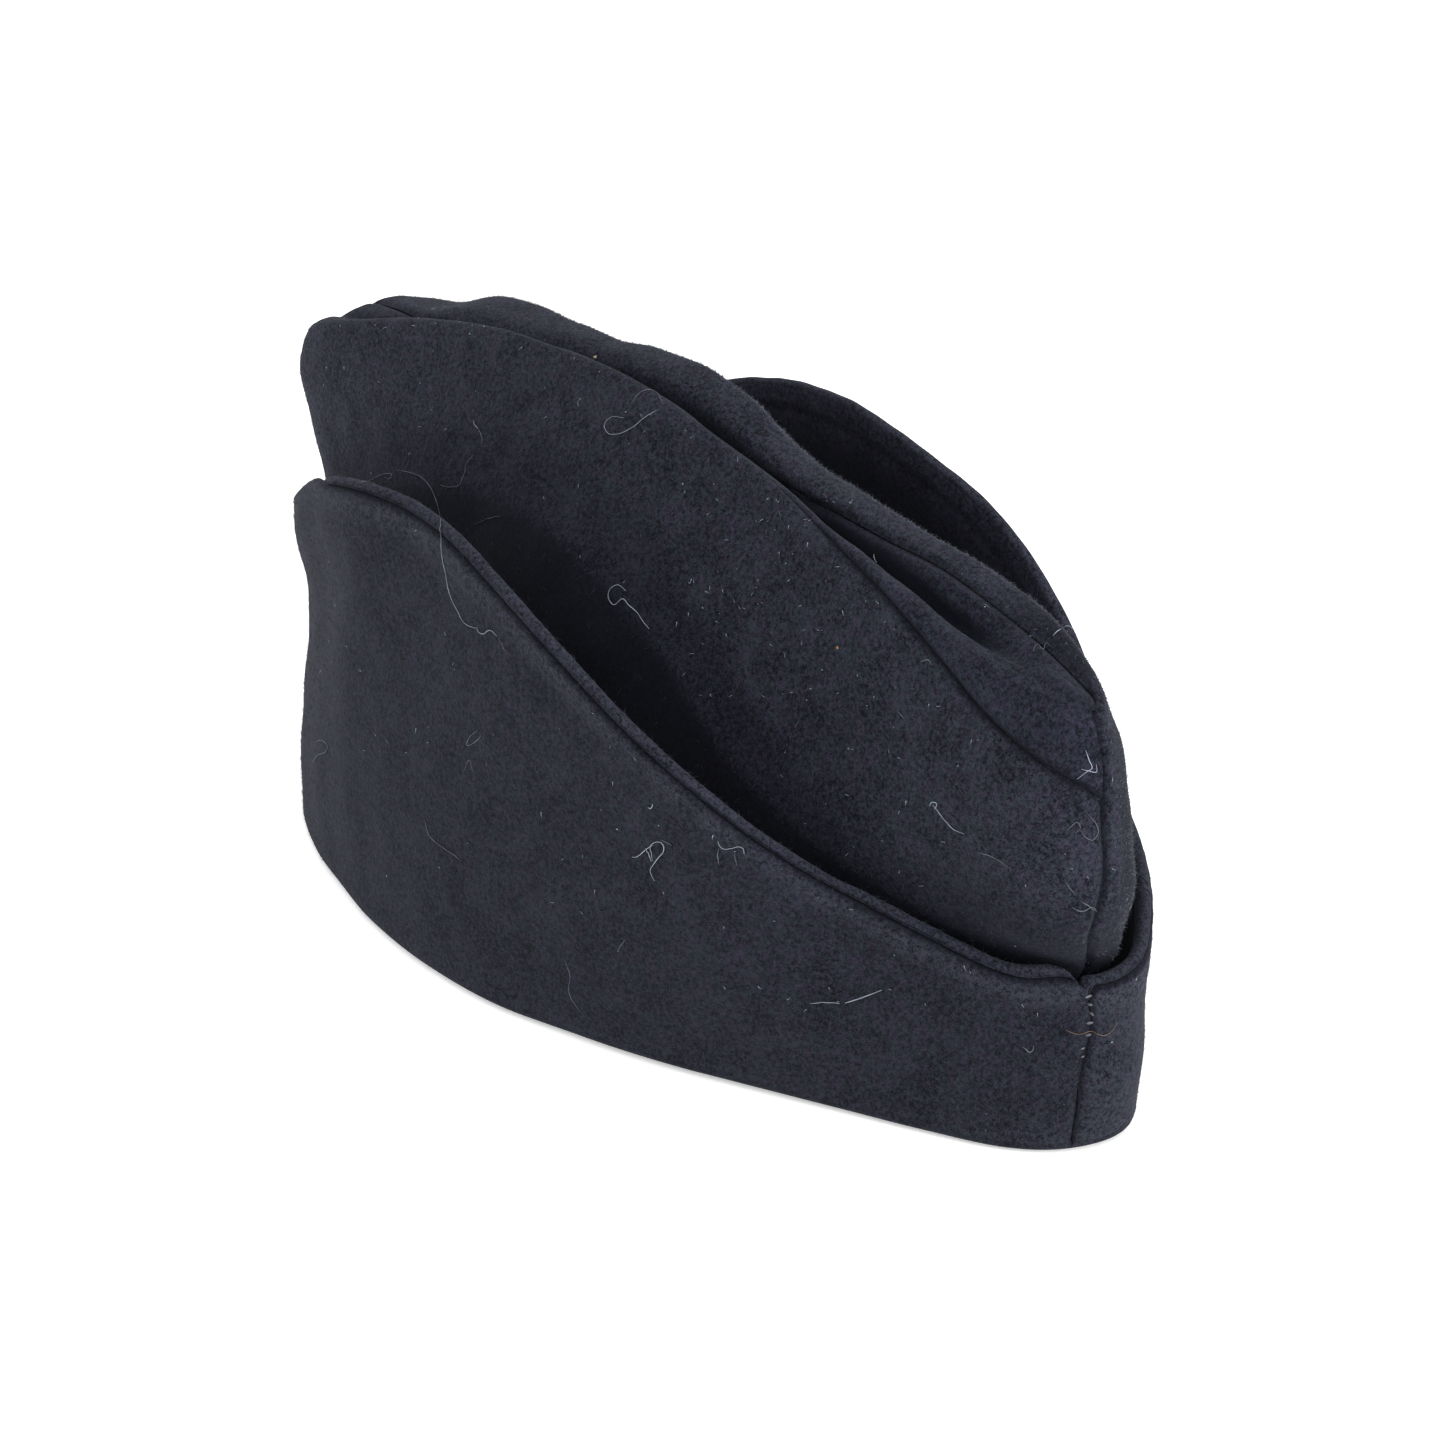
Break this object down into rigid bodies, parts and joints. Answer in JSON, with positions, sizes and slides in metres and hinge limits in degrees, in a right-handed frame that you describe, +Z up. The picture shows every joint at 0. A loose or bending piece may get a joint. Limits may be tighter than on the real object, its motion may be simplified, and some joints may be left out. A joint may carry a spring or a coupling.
{
  "type": "garrison cap",
  "caption": "Soft wool side cap with scooped turn-up, folded-in top between two ridges and open hollow for the head, standing opened out on its bottom fold.",
  "frame": {"origin": "middle of the bounding box, on the plane of the bottom fold that the cap stands on", "axes": "+X to the low front of the cap, +Y to the wearer's left, +Z up"},
  "size_m": [0.266, 0.1153, 0.122],
  "materials": {
    "crown_side_right": "brushed wool",
    "crown_side_left": "brushed wool",
    "crown_top": "brushed wool",
    "flap_right": "brushed wool",
    "flap_left": "brushed wool",
    "flap_facing_right": "brushed wool",
    "flap_facing_left": "brushed wool"
  },
  "bodies": {
    "root": {"crown_side_right": "crown_side_right", "crown_side_left": "crown_side_left", "crown_top": "crown_top", "flap_right": "flap_right", "flap_left": "flap_left", "flap_facing_right": "flap_facing_right", "flap_facing_left": "flap_facing_left"}
  },
  "joints": []
}
